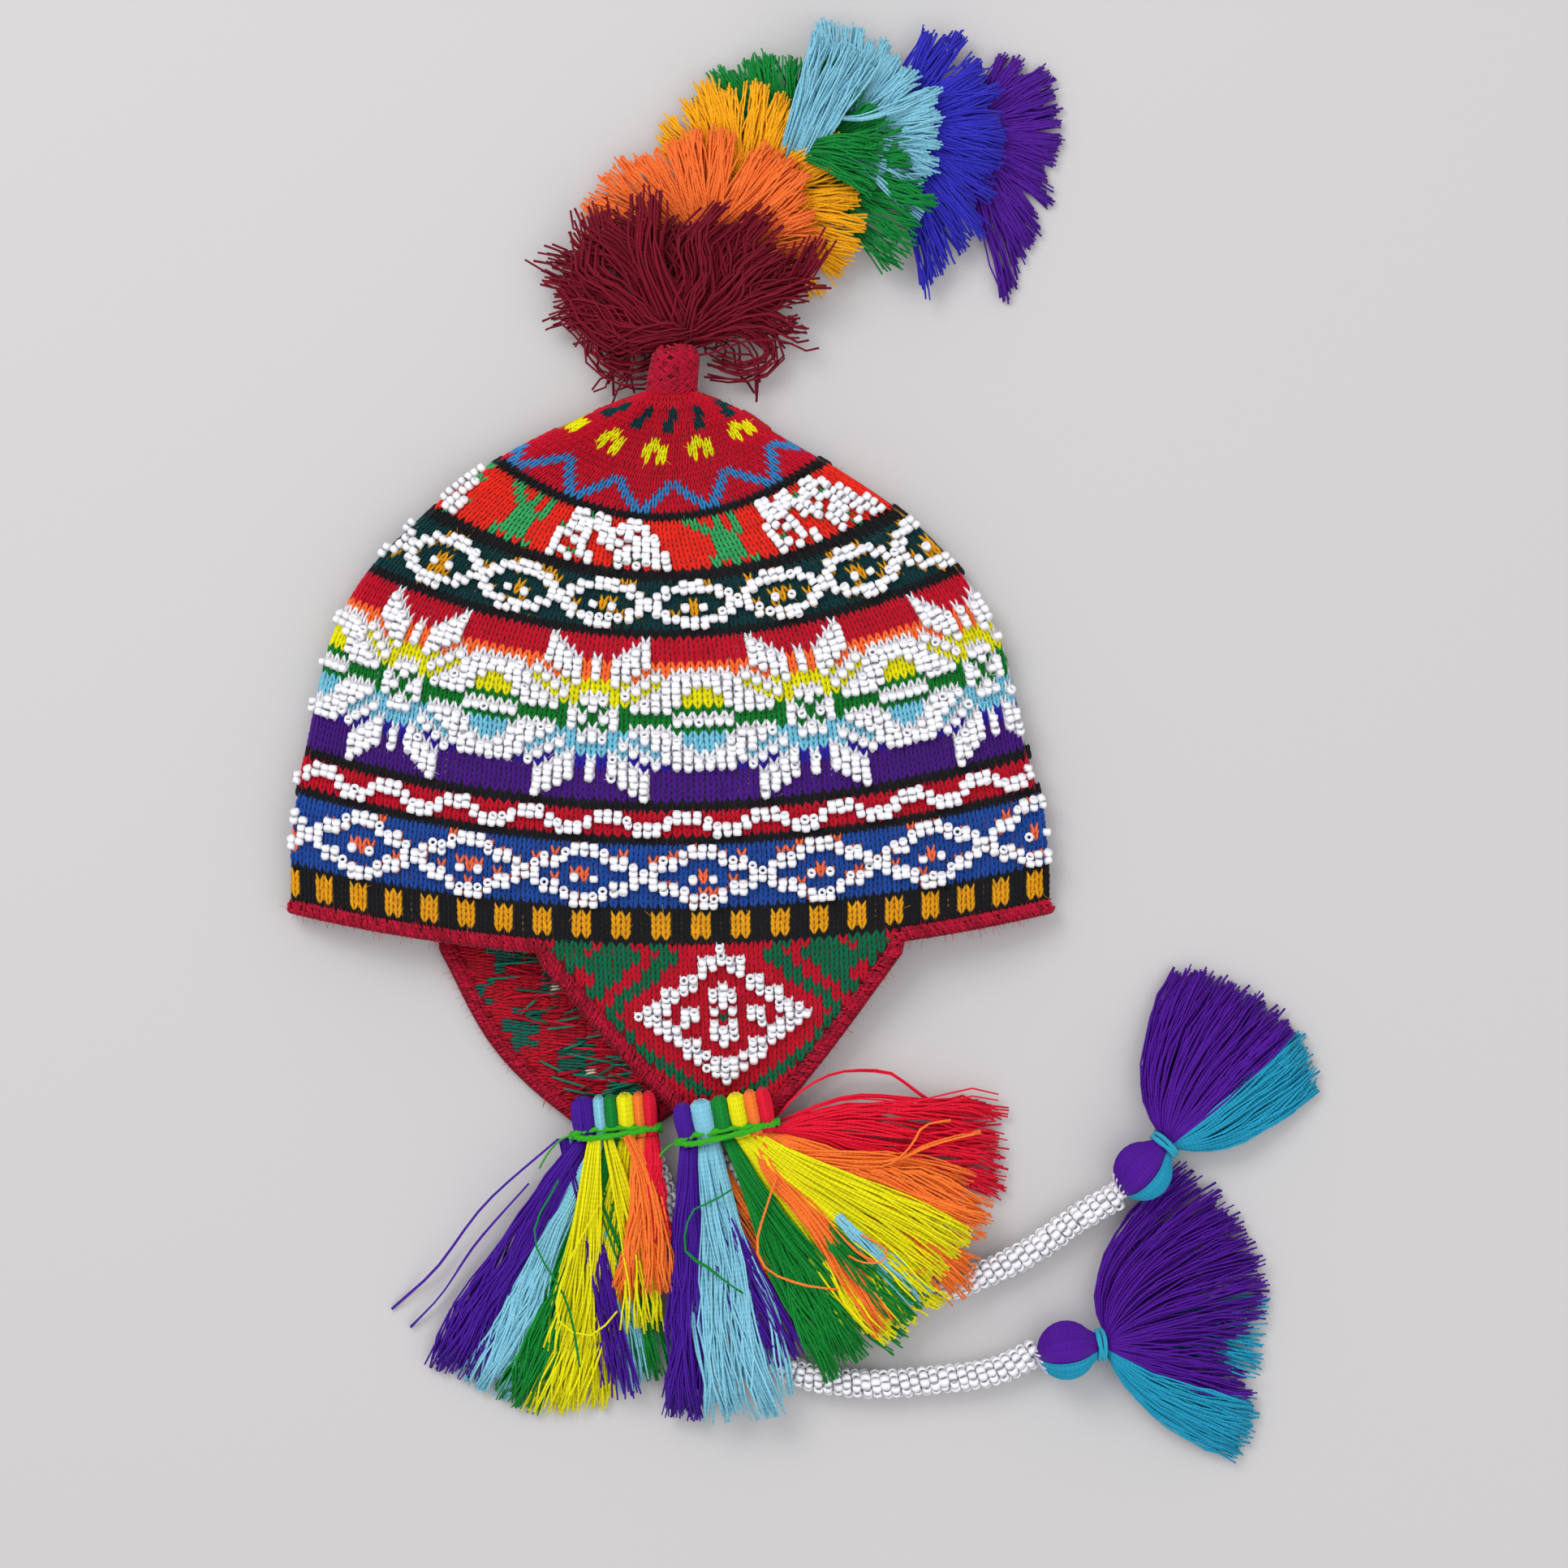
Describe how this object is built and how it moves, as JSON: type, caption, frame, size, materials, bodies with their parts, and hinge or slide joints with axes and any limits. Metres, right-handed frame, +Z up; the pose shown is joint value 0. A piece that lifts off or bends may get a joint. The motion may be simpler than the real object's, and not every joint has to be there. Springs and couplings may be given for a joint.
{
  "type": "chullo hat",
  "caption": "Knitted and beaded chullo hat lying flat, with ear flaps, yarn tassels, bead ropes with end tassels and a bent rainbow plume.",
  "frame": {"origin": "on the surface that the hat lies on, under the middle of the flattened crown", "axes": "+X from the crown's left fold to its right fold, +Y from the rim to the stem and plume, +Z up from the surface"},
  "size_m": [0.3365, 0.4663, 0.026],
  "materials": {
    "knit": "knitted wool in bands of many colours",
    "crimson": "crocheted wool, slightly fuzzy",
    "lime": "soft thread",
    "bead": "opaque white glass seed beads, glossy",
    "purple": "soft yarn",
    "violet": "soft brushed yarn",
    "sky": "soft yarn",
    "green": "soft yarn",
    "yellow": "soft yarn",
    "orange": "soft yarn",
    "red": "soft yarn",
    "maroon": "soft brushed yarn",
    "gold": "soft brushed yarn",
    "blue": "soft brushed yarn",
    "turquoise": "soft yarn"
  },
  "bodies": {
    "root": {"crochet_edge": "crimson", "crown": "knit", "far_flap": "knit", "far_tassel_green": "green", "far_tassel_orange": "orange", "far_tassel_purple": "purple", "far_tassel_red": "red", "far_tassel_sky": "sky", "far_tassel_yellow": "yellow", "far_tie": "lime", "lower_bead_rope": "bead", "lower_end_tassel_purple": "purple", "lower_end_tassel_turquoise": "turquoise", "lower_end_tie": "turquoise", "near_flap": "knit", "near_tassel_green": "green", "near_tassel_orange": "orange", "near_tassel_purple": "purple", "near_tassel_red": "red", "near_tassel_sky": "sky", "near_tassel_yellow": "yellow", "near_tie": "lime", "plume_blue": "blue", "plume_gold": "gold", "plume_green": "green", "plume_maroon": "maroon", "plume_orange": "orange", "plume_sky": "sky", "plume_violet": "violet", "stem": "crimson", "upper_bead_rope": "bead", "upper_end_tassel_purple": "purple", "upper_end_tassel_turquoise": "turquoise", "upper_end_tie": "turquoise"}
  },
  "joints": []
}
